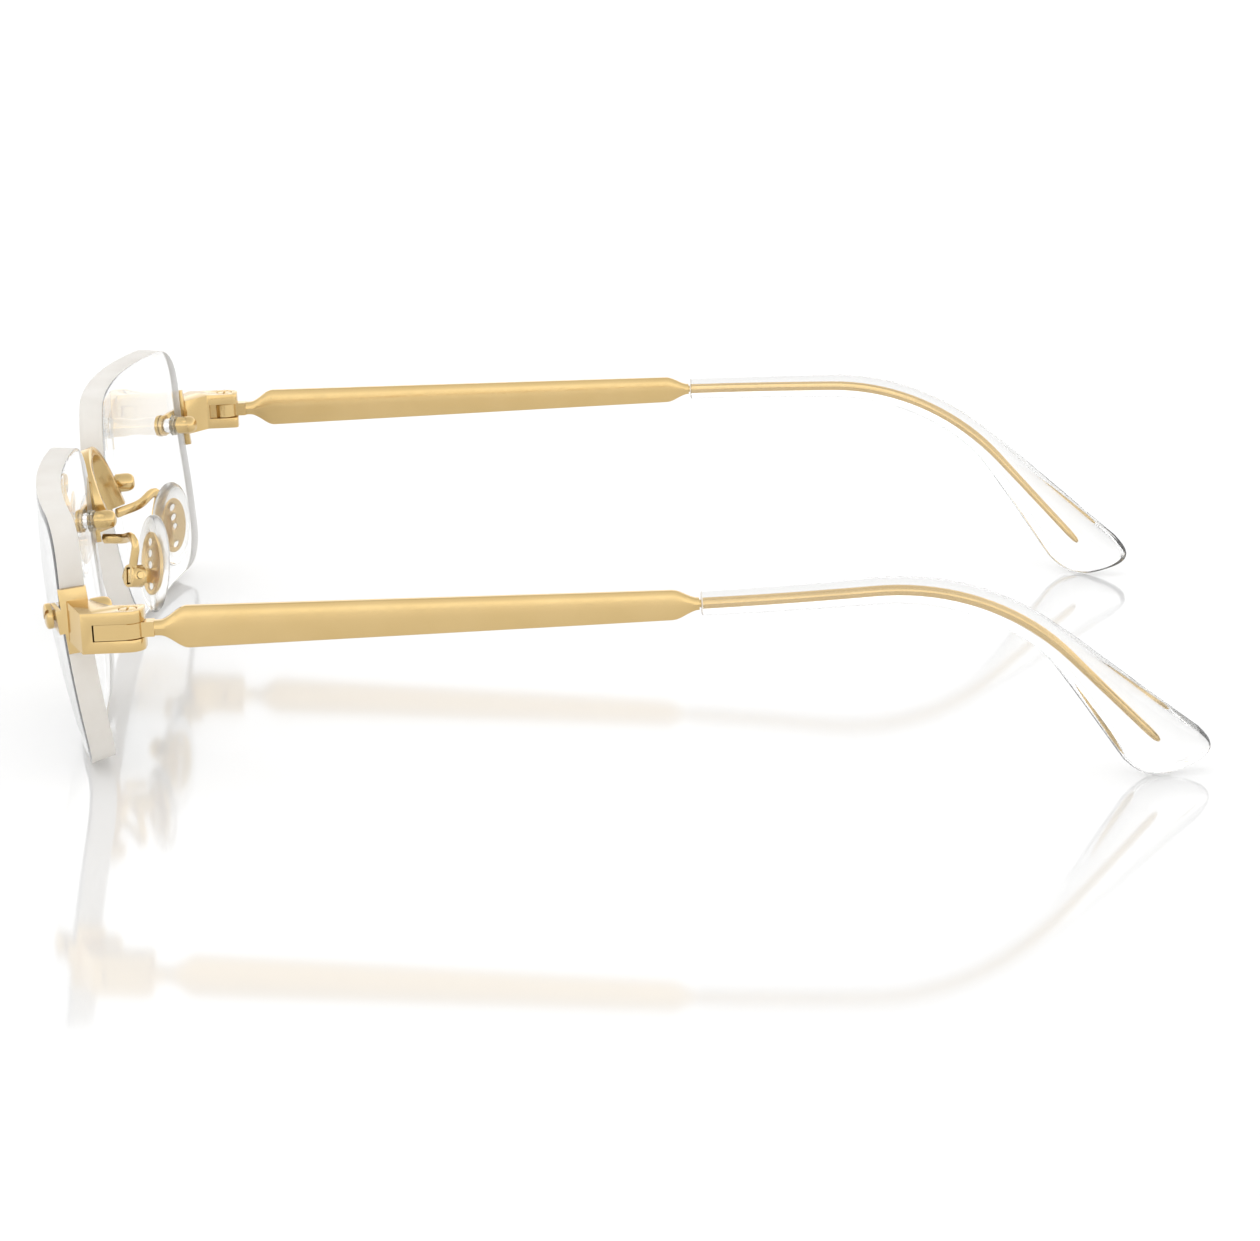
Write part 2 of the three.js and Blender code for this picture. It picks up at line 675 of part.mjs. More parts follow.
// The arm that carries the nose pad, from the foot of the bridge to the box round the pad's stem.
function guardArm() {
  const toPad = padFrame.clone().invert();
  const box = rod(padBoxRadius, -padReach - padBoxLength / 2, -padReach + padBoxLength / 2, fine)
    .translate(0, -padStemDrop, 0);
  const mouthThin = padStemThickness / 2 + seatGap;
  const mouthHalf = padStemWidth / 2 + 2 * seatGap;
  const mouth = block(
    [-mouthThin, -padStemDrop - mouthHalf, -padReach - padBoxLength],
    [mouthThin, -padStemDrop + mouthHalf, 0],
  );
  const boxBack = padBoxCentre.clone().addScaledVector(padOut, -0.15 * padBoxLength);
  const route = new THREE.CatmullRomCurve3([
    armFoot,
    armFoot.clone().add(new THREE.Vector3(...guardArmStart)),
    ...guardArmBends.map((offset) => boxBack.clone().add(new THREE.Vector3(...offset))),
  ]);
  const sideways = new THREE.Vector3(...guardArmFace);
  const rings = lengths(0, 1, 16).map((part) => {
    const along = route.getTangentAt(part);
    const up = new THREE.Vector3().crossVectors(sideways, along).normalize();
    const across = new THREE.Vector3().crossVectors(along, up).normalize();
    return {
      centre: route.getPointAt(part),
      across: across.multiplyScalar(guardArmThickness / 2),
      up: up.multiplyScalar(guardArmHeight / 2),
    };
  });
  const arm = placed(lofted(8, rings, Math.PI / 8), toPad);
  const body = cut(joined(arm, box), mouth, padScrewHole(padScrewRadius + runningGap, -5, 5));
  return placed(body, padFrame);
}

// ---------------------------------------------------------------- assembly
const leftPieces = [
  ['lens', lens(), clear],
  ['temporal_bushing', placed(lensBushing(), temporalFrame), nylon],
  ['nasal_bushing', placed(lensBushing(), nasalFrame), nylon],
  ['temporal_screw', placed(lensScrew(), temporalFrame), gold],
  ['nasal_screw', placed(lensScrew(), nasalFrame), gold],
  ['temporal_washer', placed(backWasher(), temporalFrame), nylon],
  ['nasal_washer', placed(backWasher(), nasalFrame), nylon],
  ['temporal_cap_nut', placed(capNut(), temporalFrame), gold],
  ['nasal_cap_nut', placed(capNut(), nasalFrame), gold],
  ['end_piece', endPiece(), gold],
  ['hinge_screw', hingeScrew(), gold],
  ['temple', temple(), gold],
  ['temple_tip', templeTip(), clearTip],
  ['guard_arm', guardArm(), gold],
  ['pad_screw', padScrew(), gold],
  ['pad_core', padCore(), gold],
  ['nose_pad', nosePad(), clear],
];

function piece(name, geometry, look) {
  const mesh = new THREE.Mesh(geometry, new THREE.MeshStandardMaterial(look));
  mesh.name = name;
  return mesh;
}

const leftSide = new THREE.Group();
const rightSide = new THREE.Group();
rightSide.scale.x = -1;
leftPieces.forEach(([name, geometry, look]) => {
  leftSide.add(piece(`${name}_left`, geometry, look));
  rightSide.add(piece(`${name}_right`, geometry, look));
});

const glasses = new THREE.Group();
glasses.name = 'rimless_eyeglasses';
glasses.add(leftSide, rightSide, piece('bridge', bridge(), gold));

// The origin is on the table, under the middle of the glasses' box.
const bounds = new THREE.Box3().setFromObject(glasses, true);
glasses.position.set(0, -(bounds.min.y + bounds.max.y) / 2, -bounds.min.z);
glasses.updateMatrixWorld(true);

export default glasses;
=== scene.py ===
import math

import bpy
from mathutils import Matrix, Vector


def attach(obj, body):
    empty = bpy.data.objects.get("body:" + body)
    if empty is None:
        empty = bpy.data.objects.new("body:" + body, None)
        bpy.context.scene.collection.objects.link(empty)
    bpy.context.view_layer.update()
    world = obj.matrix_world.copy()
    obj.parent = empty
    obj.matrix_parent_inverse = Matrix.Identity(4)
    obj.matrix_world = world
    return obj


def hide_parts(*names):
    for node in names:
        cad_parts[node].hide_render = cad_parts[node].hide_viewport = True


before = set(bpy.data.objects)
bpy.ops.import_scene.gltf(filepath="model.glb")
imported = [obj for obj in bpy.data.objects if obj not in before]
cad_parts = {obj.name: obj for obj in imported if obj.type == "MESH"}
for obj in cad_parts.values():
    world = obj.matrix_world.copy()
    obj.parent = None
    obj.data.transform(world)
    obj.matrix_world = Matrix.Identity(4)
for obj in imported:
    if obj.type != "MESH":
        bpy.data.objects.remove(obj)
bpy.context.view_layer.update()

# ---------------------------------------------------------------- lenses
# Two clear resin lenses, ground to a rounded rectangle and curved front and back. The ground edge is bare and
# matt, with its corners broken, and each lens is drilled through near both ends for its mounts.
# Sizes are in millimetres up to the studio, unless a comment says metres. Meshes become metres when placed.
LENS_WIDTH, LENS_HEIGHT, LENS_THICKNESS = 53.5, 36.2, 3.3
LENS_RADIUS = 115.0
LENS_WRAP, LENS_TILT = math.radians(6), math.radians(8.5)
LENS_CENTRE = Vector((35.004, -76.332, 17.686))
# Round the lens from its upper outer corner: which corner or middle of a side each point belongs to, its shift
# along and up from there, and the length of its round.
LENS_CORNERS = [
    ((1, 1), (0, -1), 8), ((0, 1), (2, 0.5), 16), ((-1, 1), (0, -0.4), 10), ((-1, 0), (0, -2), 6),
    ((-1, -1), (4.4, 1.6), 9), ((0, -1), (-2, -0.4), 11), ((1, -1), (-3.6, 0.8), 6.5), ((1, 0), (0, -5), 5),
]
TEMPLE_HOLE_INSET, NOSE_HOLE_INSET = 3.75, 2.75
TEMPLE_HOLE = (LENS_WIDTH / 2 - TEMPLE_HOLE_INSET, 4.6)
NOSE_HOLE = (-LENS_WIDTH / 2 + NOSE_HOLE_INSET, 5.7)
LENS_HOLE_RADIUS = 1.12
RIM_BREAK = 0.12
RIM_STEEPNESS = 0.6
RIM_POINTS = 200
RINGS = 14
ROUND_STEPS = 20
GRAIN_LOW, GRAIN_HIGH = 0.3, 0.7
MILLIMETRE = 0.001


def only(piece, mode="OBJECT"):
    """Selects this piece alone and changes to the mode."""
    if bpy.context.object and bpy.context.object.mode != "OBJECT":
        bpy.ops.object.mode_set(mode="OBJECT")
    bpy.ops.object.select_all(action="DESELECT")
    piece.select_set(True)
    bpy.context.view_layer.objects.active = piece
    bpy.ops.object.mode_set(mode=mode)
    if mode == "EDIT":
        bpy.ops.mesh.select_all(action="SELECT")


def close_shell(piece, angle=30):
    """Turns every face outwards and smooths all but the real edges."""
    only(piece, "EDIT")
    bpy.ops.mesh.normals_make_consistent(inside=False)
    only(piece)
    bpy.ops.object.shade_smooth_by_angle(angle=math.radians(angle))


def break_edges(piece, width, sharper_than=35, segments=2):
    """Rounds the piece's sharp edges by this width."""
    only(piece, "EDIT")
    bpy.ops.mesh.select_all(action="DESELECT")
    bpy.ops.mesh.select_mode(type="EDGE")
    bpy.ops.mesh.edges_select_sharp(sharpness=math.radians(sharper_than))
    bpy.ops.mesh.bevel(offset=width, segments=segments, profile=0.5)
    only(piece)


def combine(piece, tool, operation):
    """Adds or cuts away the tool, which is used up."""
    only(piece)
    boolean = piece.modifiers.new("fit", "BOOLEAN")
    boolean.object, boolean.operation, boolean.solver = tool, operation, "EXACT"
    bpy.ops.object.modifier_apply(modifier=boolean.name)
    bpy.data.objects.remove(tool)


def place(piece, matrix):
    """Moves the mesh from its own millimetres to its place in the frame, in metres."""
    piece.data.transform(Matrix.Scale(MILLIMETRE, 4) @ matrix)


def fit_both_sides(piece, name, body, nodes):
    """Makes the right-hand twin, and lets both stand for their CAD nodes."""
    twin = piece.copy()
    twin.data = piece.data.copy()
    bpy.context.scene.collection.objects.link(twin)
    twin.data.transform(Matrix.Scale(-1, 4, (1, 0, 0)))
    close_shell(twin)
    for side, made in (("left", piece), ("right", twin)):
        made.name = made.data.name = f"{name}_{side}"
        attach(made, body.format(side))
        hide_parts(*(f"{node}_{side}" for node in nodes))


def lens_sag(x, y):
    """How far the front of the lens falls behind its middle."""
    return LENS_RADIUS - math.sqrt(LENS_RADIUS**2 - x * x - y * y)


def lens_outline(count):
    """Points spaced evenly round the lens, from its corners and the middles of its sides."""
    corners = [
        (Vector((side * LENS_WIDTH / 2 + along, end * LENS_HEIGHT / 2 + up)), length)
        for (side, end), (along, up), length in LENS_CORNERS
    ]
    path = []
    for i, (at, length) in enumerate(corners):
        before, after = corners[i - 1][0], corners[(i + 1) % len(corners)][0]
        start = at + (before - at).normalized() * length
        end = at + (after - at).normalized() * length
        for step in range(ROUND_STEPS + 1):
            t = step / ROUND_STEPS
            path.append(start * (1 - t) ** 2 + at * 2 * t * (1 - t) + end * t * t)
    path.append(path[0])
    lengths = [0.0]
    for a, b in zip(path, path[1:]):
        lengths.append(lengths[-1] + (b - a).length)
    points, k = [], 0
    for i in range(count):
        target = lengths[-1] * i / count
        while lengths[k + 1] < target:
            k += 1
        share = (target - lengths[k]) / (lengths[k + 1] - lengths[k])
        points.append(path[k].lerp(path[k + 1], share))
    low = Vector((min(p.x for p in points), min(p.y for p in points)))
    high = Vector((max(p.x for p in points), max(p.y for p in points)))
    size, middle = high - low, (high + low) / 2
    return [((p.x - middle.x) * LENS_WIDTH / size.x, (p.y - middle.y) * LENS_HEIGHT / size.y) for p in points]


def lens_frame():
    """The left lens's own axes, with Z out of its front."""
    across = Vector((math.cos(LENS_WRAP), math.sin(LENS_WRAP), 0))
    up = Vector((
        math.sin(LENS_WRAP) * math.sin(LENS_TILT),
        -math.cos(LENS_WRAP) * math.sin(LENS_TILT),
        math.cos(LENS_TILT),
    ))
    out = across.cross(up)
    return Matrix.Translation(LENS_CENTRE) @ Matrix((across, up, out)).transposed().to_4x4()


def hole_frame(x, y):
    """A hole's place on the front of the lens, with Z out of the surface."""
    normal = Vector((x, y, LENS_RADIUS - lens_sag(x, y))) / LENS_RADIUS
    across = Vector((normal.z, 0, -normal.x)).normalized()
    turn = Matrix((across, normal.cross(across), normal)).transposed().to_4x4()
    return lens_frame() @ Matrix.Translation((x, y, -lens_sag(x, y))) @ turn


def finish_of(name, roughness=0.5, metallic=0.0, transmission=0.0, ior=1.5):
    """A Principled finish with its even values set, and its nodes."""
    finish = bpy.data.materials.new(name)
    finish.use_nodes = True
    shader = finish.node_tree.nodes["Principled BSDF"]
    shader.inputs["Roughness"].default_value = roughness
    shader.inputs["Metallic"].default_value = metallic
    shader.inputs["Transmission Weight"].default_value = transmission
    shader.inputs["IOR"].default_value = ior
    return finish, finish.node_tree, shader


def grain(tree, scale, detail=2.0, stretch=(1, 1, 1)):
    """Noise in the piece's own space, as a value socket. The scale is in cells per metre."""
    place_in = tree.nodes.new("ShaderNodeTexCoord")
    mapping = tree.nodes.new("ShaderNodeMapping")
    noise = tree.nodes.new("ShaderNodeTexNoise")
    mapping.inputs["Scale"].default_value = stretch
    noise.inputs["Scale"].default_value = scale
    noise.inputs["Detail"].default_value = detail
    tree.links.new(place_in.outputs["Object"], mapping.inputs["Vector"])
    tree.links.new(mapping.outputs["Vector"], noise.inputs["Vector"])
    return noise.outputs["Fac"]


def vary_colour(tree, shader, fac, low, high):
    """Lets the colour drift between two tones with the grain."""
    ramp = tree.nodes.new("ShaderNodeValToRGB")
    first, last = ramp.color_ramp.elements
    first.position, last.position = GRAIN_LOW, GRAIN_HIGH
    first.color, last.color = (*low, 1), (*high, 1)
    tree.links.new(fac, ramp.inputs["Fac"])
    tree.links.new(ramp.outputs["Color"], shader.inputs["Base Color"])


def vary_roughness(tree, shader, fac, low, high):
    """Lets the polish drift between two roughnesses with the grain."""
    span = tree.nodes.new("ShaderNodeMapRange")
    span.inputs["From Min"].default_value, span.inputs["From Max"].default_value = GRAIN_LOW, GRAIN_HIGH
    span.inputs["To Min"].default_value, span.inputs["To Max"].default_value = low, high
    tree.links.new(fac, span.inputs["Value"])
    tree.links.new(span.outputs["Result"], shader.inputs["Roughness"])


def raise_grain(tree, shader, fac, strength, depth):
    """Raises the grain as a fine bump, with its depth in metres."""
    bump = tree.nodes.new("ShaderNodeBump")
    bump.inputs["Strength"].default_value = strength
    bump.inputs["Distance"].default_value = depth
    tree.links.new(fac, bump.inputs["Height"])
    tree.links.new(bump.outputs["Normal"], shader.inputs["Normal"])


lens_resin, tree, shader = finish_of("lens_resin", roughness=0.0, transmission=1)
vary_colour(tree, shader, grain(tree, 45), (0.975, 0.982, 0.978), (0.992, 0.994, 0.99))
ground_edge, tree, shader = finish_of("ground_edge", transmission=0.4)
vary_colour(tree, shader, grain(tree, 160, 3), (0.83, 0.79, 0.73), (0.9, 0.87, 0.82))
raise_grain(tree, shader, grain(tree, 6000, 3), 0.12, 0.00003)

bpy.ops.mesh.primitive_circle_add(vertices=RIM_POINTS, radius=1, fill_type="NOTHING")
lens = bpy.context.object
for vertex, (x, y) in zip(lens.data.vertices, lens_outline(RIM_POINTS)):
    vertex.co = (x, y, 0)
only(lens, "EDIT")
for ring in range(RINGS, 1, -1):
    bpy.ops.mesh.extrude_region_move()
    step = (ring - 1) / ring
    bpy.ops.transform.resize(value=(step, step, 1), center_override=(0, 0, 0))
bpy.ops.mesh.edge_face_add()
bpy.ops.mesh.poke()
only(lens)
for vertex in lens.data.vertices:
    vertex.co.z = -lens_sag(vertex.co.x, vertex.co.y)
only(lens, "EDIT")
bpy.ops.mesh.extrude_region_move()
inner = 1 - LENS_THICKNESS / LENS_RADIUS
bpy.ops.transform.resize(value=(inner,) * 3, center_override=(0, 0, -LENS_RADIUS))
bpy.ops.mesh.select_all(action="SELECT")
bpy.ops.mesh.normals_make_consistent(inside=False)
only(lens)
break_edges(lens, RIM_BREAK)
lens.data.materials.append(lens_resin)
lens.data.materials.append(ground_edge)
# The bevel leaves the broken corners selected, and the ground band between them is steep.
for face in lens.data.polygons:
    face.material_index = int(face.select or abs(face.normal.z) < RIM_STEEPNESS)
for hole in (TEMPLE_HOLE, NOSE_HOLE):
    bpy.ops.mesh.primitive_cylinder_add(vertices=40, radius=LENS_HOLE_RADIUS, depth=4 * LENS_THICKNESS)
    drill = bpy.context.object
    drill.data.transform(lens_frame().inverted() @ hole_frame(*hole))
    combine(lens, drill, "DIFFERENCE")
place(lens, lens_frame())
close_shell(lens)
fit_both_sides(lens, "resin_lens", "front", ["lens"])

# ---------------------------------------------------------------- lens screws and cap nuts
# Slotted screws go through each lens from the front, and domed cap nuts close them at the back. Both are
# turned from brass, polished and plated pale gold, as all the metal is.
SCREW_PROFILE = [
    (0.7, -5.6), (0.7, 0.84), (1.7, 0.84), (1.7, 1.38), (1.62, 1.54), (1.42, 1.66), (1.1, 1.73),
]
CAP_PROFILE = [
    (0.3, -7.23), (0.62, -7.19), (0.9, -7.06), (1.12, -6.84), (1.26, -6.52), (1.33, -6.15), (1.35, -5.75),
    (1.35, -4.66), (1.3, -4.5), (1.12, -4.45), (1.12, -4.34),
]
SLOT_LENGTH, SLOT_WIDTH, SLOT_DEPTH = 5, 0.45, 0.42
SLOT_TURN = math.radians(35)


def turned(profile, sides=48):
    """A piece turned about Z from steps of radius and height, closed at both ends."""
    (radius, height), *steps = profile
    at = (0, 0, height)
    bpy.ops.mesh.primitive_circle_add(vertices=sides, radius=radius, fill_type="NGON", location=at)
    bpy.ops.object.transform_apply(location=True)
    made = bpy.context.object
    only(made, "EDIT")
    for new_radius, new_height in steps:
        bpy.ops.mesh.extrude_region_move(TRANSFORM_OT_translate={"value": (0, 0, new_height - height)})
        share = new_radius / radius
        bpy.ops.transform.resize(value=(share, share, 1), center_override=(0, 0, 0))
        radius, height = new_radius, new_height
    close_shell(made)
    return made


def box_tool(size, centre):
    """A block for cutting or joining, at its size and place."""
    bpy.ops.mesh.primitive_cube_add(size=1, location=centre, scale=size)
    bpy.ops.object.transform_apply(location=True, scale=True)
    return bpy.context.object


plated_gold, tree, shader = finish_of("plated_gold", metallic=1)
vary_colour(tree, shader, grain(tree, 120, 3), (0.65, 0.468, 0.212), (0.685, 0.498, 0.237))
vary_roughness(tree, shader, grain(tree, 700, 3), 0.16, 0.25)
raise_grain(tree, shader, grain(tree, 900, 3, (6, 0.5, 6)), 0.06, 0.00002)

for end, hole in (("temporal", TEMPLE_HOLE), ("nasal", NOSE_HOLE)):
    screw = turned(SCREW_PROFILE)
    slot = box_tool((SLOT_LENGTH, SLOT_WIDTH, 2 * SLOT_DEPTH), (0, 0, SCREW_PROFILE[-1][1]))
    combine(screw, slot, "DIFFERENCE")
    screw.data.transform(Matrix.Rotation(SLOT_TURN, 4, "Z"))
    cap = turned(CAP_PROFILE)
    for piece, name, node in ((screw, "slotted_screw", "screw"), (cap, "domed_nut", "cap_nut")):
        piece.data.materials.append(plated_gold)
        place(piece, hole_frame(*hole))
        close_shell(piece)
        fit_both_sides(piece, f"{end}_{name}", "front", [f"{end}_{node}"])

# ---------------------------------------------------------------- bushings and washers
# Clear nylon sleeves line the drilled holes, and thin nylon washers keep the cap nuts off the lens. They are
# moulded and left natural, so they are clear with a faint warm tint.
nylon, tree, shader = finish_of("natural_nylon", transmission=0.85, ior=1.53)
vary_colour(tree, shader, grain(tree, 900), (0.95, 0.9, 0.76), (0.98, 0.95, 0.86))
vary_roughness(tree, shader, grain(tree, 2500), 0.15, 0.28)
for side in ("left", "right"):
    for end in ("temporal", "nasal"):
        for kind in ("bushing", "washer"):
            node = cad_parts[f"{end}_{kind}_{side}"]
            node.data.materials.clear()
            node.data.materials.append(nylon)

# ---------------------------------------------------------------- bridge, end pieces and guard arms
# Nickel-silver parts, pressed and milled, then plated and tumbled until their edges are soft: the bridge with
# its two straps and tabs, the end pieces with their slotted knuckles, and the bent arms that carry the pads.
MERGE_WITHIN = 0.000002
FLAT_WITHIN = math.radians(1)
TUMBLED_OVER = math.radians(32)
# Each part's node, its name here and the round of its edges, in metres as its mesh is.
METAL_PARTS = [
    ("bridge", "nose_bridge", 0.00012),
    ("end_piece_left", "hinge_block_left", 0.0001),
    ("end_piece_right", "hinge_block_right", 0.0001),
    ("guard_arm_left", "pad_arm_left", 0.00007),
    ("guard_arm_right", "pad_arm_right", 0.00007),
]
for node, name, softening in METAL_PARTS:
    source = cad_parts[node]
    part = source.copy()
    part.data = source.data.copy()
    part.parent = None
    for key in [k for k in part.keys() if k.startswith("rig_")]:
        del part[key]
    bpy.context.scene.collection.objects.link(part)
    part.name = part.data.name = name
    only(part, "EDIT")
    bpy.ops.mesh.remove_doubles(threshold=MERGE_WITHIN)
    bpy.ops.mesh.dissolve_limited(angle_limit=FLAT_WITHIN)
    bpy.ops.mesh.normals_make_consistent(inside=False)
    only(part)
    softened = part.modifiers.new("tumbled_edges", "BEVEL")
    softened.width, softened.segments = softening, 2
    softened.limit_method, softened.angle_limit = "ANGLE", TUMBLED_OVER
    bpy.ops.object.modifier_apply(modifier=softened.name)
    part.data.materials.clear()
    part.data.materials.append(plated_gold)
    close_shell(part)
    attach(part, "front")
    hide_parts(node)

# ---------------------------------------------------------------- hinge screws
# A slotted flat-headed screw goes down through the knuckles of each hinge. It is turned and plated, and is
# the pin that the temple turns on.
HINGE = Vector((67.407, -61.832, 23.293))
TEMPLE_RISE = math.radians(2.6)
HINGE_FRAME = Matrix.Translation(HINGE) @ Matrix.Rotation(TEMPLE_RISE, 4, "X")
PIN_PROFILE = [(0.68, -2.65), (0.68, 2.13), (1.15, 2.13), (1.15, 2.5), (1.08, 2.6), (0.95, 2.63)]
PIN_SLOT = (4, 0.32, 0.5)

pin = turned(PIN_PROFILE, sides=32)
combine(pin, box_tool(PIN_SLOT, (0, 0, PIN_PROFILE[-1][1])), "DIFFERENCE")
pin.data.materials.append(plated_gold)
place(pin, HINGE_FRAME)
close_shell(pin)
fit_both_sides(pin, "hinge_pin", "front", ["hinge_screw"])

# ---------------------------------------------------------------- temples
# Each temple is a long slim bar of plated metal with a ridge along its outer face, crowned above the ridge
# and flat below it. It narrows to a neck and a flat tongue at the hinge, and to a round wire inside the tip.
BLADE_SIDE = [
    (0.32, 1.0), (0.55, 0.955), (0.74, 0.83), (0.88, 0.6),
    (0.96, 0.3), (1.0, 0.0), (0.62, -0.95), (0.45, -1.0),
]
BLADE_OUTLINE = BLADE_SIDE + [(-across, up) for across, up in reversed(BLADE_SIDE)]
# The length, half width and half height of the blade where it changes.
BLADE_ROOT = (0.8, 0.95, 0.975)
NECK = (3.9, 0.95, 0.975)
BLADE_FRONT = (7.6, 0.95, 2.75)
BLADE_BACK = (69.5, 0.75, 1.95)
BLADE_END = (73.0, 0.75, 0.75)
WIRE_START, WIRE_RADIUS, WIRE_POINT_START, WIRE_END = 70, 0.5, 139.6, 141.6
WIRE_POINT = [(141.0, 0.42), (WIRE_END, 0.2)]
BLADE_STEPS, LONG_STEPS = 6, 44
EAR_BEND_START, EAR_BEND_RADIUS, EAR_BEND_ANGLE = 95.6, 34.0, math.radians(48.3)
INWARD_START, INWARD_RATE = 64.0, 0.0027
TONGUE_HALF_HEIGHT, TONGUE_EASE, TONGUE_ROOT = 1.05, 0.08, 3.3
BARREL_RADIUS, HEEL_RADIUS, HEEL_INNER, HEEL_OUTER = 1.93, 4.7, 1.45, 1.9
HEEL_TOOL_DEPTH, HEEL_TOOL_HEIGHT = 6, 3
PIN_HOLE_RADIUS, PIN_HOLE_REACH = 0.74, 3
TEMPLE_SMOOTH = 22


def smooth_step(share):
    """A share from 0 to 1 with a gentle start and end."""
    share = min(max(share, 0), 1)
    return share * share * (3 - 2 * share)


def between(one, other, steps):
    """Sections that pass smoothly from one to the other, without the first."""
    made = []
    for i in range(1, steps + 1):
        part = i / steps
        ease = smooth_step(part)
        made.append((
            one[0] + (other[0] - one[0]) * part,
            one[1] + (other[1] - one[1]) * ease,
            one[2] + (other[2] - one[2]) * ease,
        ))
    return made


def drawn_bar(outline, sections):
    """A bar along Z from one outline, at each section's length, half width and half height."""
    (length, across, up), *rest = sections
    bpy.ops.mesh.primitive_circle_add(vertices=len(outline), radius=1, fill_type="NGON")
    bar = bpy.context.object
    for vertex, (x, y) in zip(bar.data.vertices, outline):
        vertex.co = (x * across, y * up, length)
    only(bar, "EDIT")
    for new_length, new_across, new_up in rest:
        bpy.ops.mesh.extrude_region_move(TRANSFORM_OT_translate={"value": (0, 0, new_length - length)})
        scale = (new_across / across, new_up / up, 1)
        bpy.ops.transform.resize(value=scale, center_override=(0, 0, 0))
        length, across, up = new_length, new_across, new_up
    close_shell(bar)
    return bar


def round_outline(sides):
    """A unit circle with this many sides."""
    turns = [2 * math.pi * i / sides for i in range(sides)]
    return [(math.cos(turn), math.sin(turn)) for turn in turns]


def bend_behind_ear(bar, lean=lambda length: 0.0):
    """Bends a straight bar to the temple's line in the hinge frame, down behind the ear and inwards."""
    for vertex in bar.data.vertices:
        x, up, length = vertex.co
        bent = min(max((length - EAR_BEND_START) / EAR_BEND_RADIUS, 0), EAR_BEND_ANGLE)
        past = max(length - EAR_BEND_START - EAR_BEND_RADIUS * EAR_BEND_ANGLE, 0)
        back = min(length, EAR_BEND_START)
        back += EAR_BEND_RADIUS * math.sin(bent) + past * math.cos(EAR_BEND_ANGLE)
        down = EAR_BEND_RADIUS * (1 - math.cos(bent)) + past * math.sin(EAR_BEND_ANGLE)
        beyond = max(back - INWARD_START, 0)
        yaw = math.atan(2 * INWARD_RATE * beyond * math.cos(bent))
        turn = Matrix.Rotation(yaw, 3, "Z") @ Matrix.Rotation(-bent, 3, "X")
        centre = Vector((-INWARD_RATE * beyond**2, back, -down))
        vertex.co = centre + turn @ Vector((x, up * lean(length), up))


def tongue_disc(radius, sides):
    """A disc of the tongue's height about the pin, with eased edges."""
    inner, low = radius - TONGUE_EASE, TONGUE_HALF_HEIGHT - TONGUE_EASE
    return turned([
        (inner, -TONGUE_HALF_HEIGHT), (radius, -low), (radius, low), (inner, TONGUE_HALF_HEIGHT),
    ], sides)


blade_line = [BLADE_ROOT, NECK, *between(NECK, BLADE_FRONT, steps=10)]
for i in range(1, BLADE_STEPS + 1):
    blade_line.append(tuple(a + (b - a) * i / BLADE_STEPS for a, b in zip(BLADE_FRONT, BLADE_BACK)))
blade_line += between(BLADE_BACK, BLADE_END, steps=7)
temple = drawn_bar(BLADE_OUTLINE, blade_line)
bend_behind_ear(temple)
wire_line = []
for i in range(LONG_STEPS + 1):
    length = WIRE_START + (WIRE_POINT_START - WIRE_START) * i / LONG_STEPS
    wire_line.append((length, WIRE_RADIUS, WIRE_RADIUS))
wire_line += [(length, radius, radius) for length, radius in WIRE_POINT]
wire = drawn_bar(round_outline(sides=16), wire_line)
bend_behind_ear(wire)
combine(temple, wire, "UNION")
barrel = tongue_disc(BARREL_RADIUS, sides=40)
heel = tongue_disc(HEEL_RADIUS, sides=96)
heel_room = box_tool(
    (HEEL_OUTER + HEEL_INNER, HEEL_TOOL_DEPTH, HEEL_TOOL_HEIGHT),
    ((HEEL_OUTER - HEEL_INNER) / 2, -HEEL_TOOL_DEPTH / 2, 0),
)
combine(heel, heel_room, "INTERSECT")
combine(barrel, heel, "UNION")
root = box_tool((2 * NECK[1], TONGUE_ROOT, 2 * NECK[2]), (0, TONGUE_ROOT / 2, 0))
combine(barrel, root, "UNION")
combine(temple, barrel, "UNION")
pin_hole = turned([(PIN_HOLE_RADIUS, -PIN_HOLE_REACH), (PIN_HOLE_RADIUS, PIN_HOLE_REACH)], sides=32)
combine(temple, pin_hole, "DIFFERENCE")
temple.data.materials.append(plated_gold)
place(temple, HINGE_FRAME)
close_shell(temple, TEMPLE_SMOOTH)
fit_both_sides(temple, "temple_bar", "temple_{}", ["temple"])

# ---------------------------------------------------------------- temple tips
# Clear acetate tips are moulded over the wire. They are slender behind the blade, where their cut front end
# is left matt, and widen past the bend to a rounded paddle that leans back at its end.
TIP_START, TIP_END, TIP_ROUND = 73.25, 147.3, 5.0
TIP_ROUND_START = TIP_END - TIP_ROUND
TIP_RADIUS, TIP_GROWTH, TIP_FRONT_EASE, TIP_FRONT_SHARE = 1.57, 0.0085, 0.15, 0.9
PADDLE_START, PADDLE_HALF_WIDTH, PADDLE_GROWTH, PADDLE_EASE, PADDLE_LEAN = 119.0, 1.8, 0.145, 4, 0.45
ROUND_POWER = 3
ROUND_SHARES = (0.2, 0.4, 0.55, 0.68, 0.79, 0.87, 0.93, 0.97, 0.99)
TIP_SMOOTH = 50


def tip_section(length, share=1.0):
    """The tip's length, half width and half height there, or a share of them at its ends."""
    held = min(length, TIP_ROUND_START)
    paddle = max(held - PADDLE_START, 0)
    tall = TIP_RADIUS + TIP_GROWTH * (held - BLADE_END[0])
    tall += PADDLE_GROWTH * paddle**2 / (paddle + PADDLE_EASE)
    thick = smooth_step((held - TIP_START) / (TIP_ROUND_START - TIP_START))
    return length, (TIP_RADIUS + (PADDLE_HALF_WIDTH - TIP_RADIUS) * thick) * share, tall * share


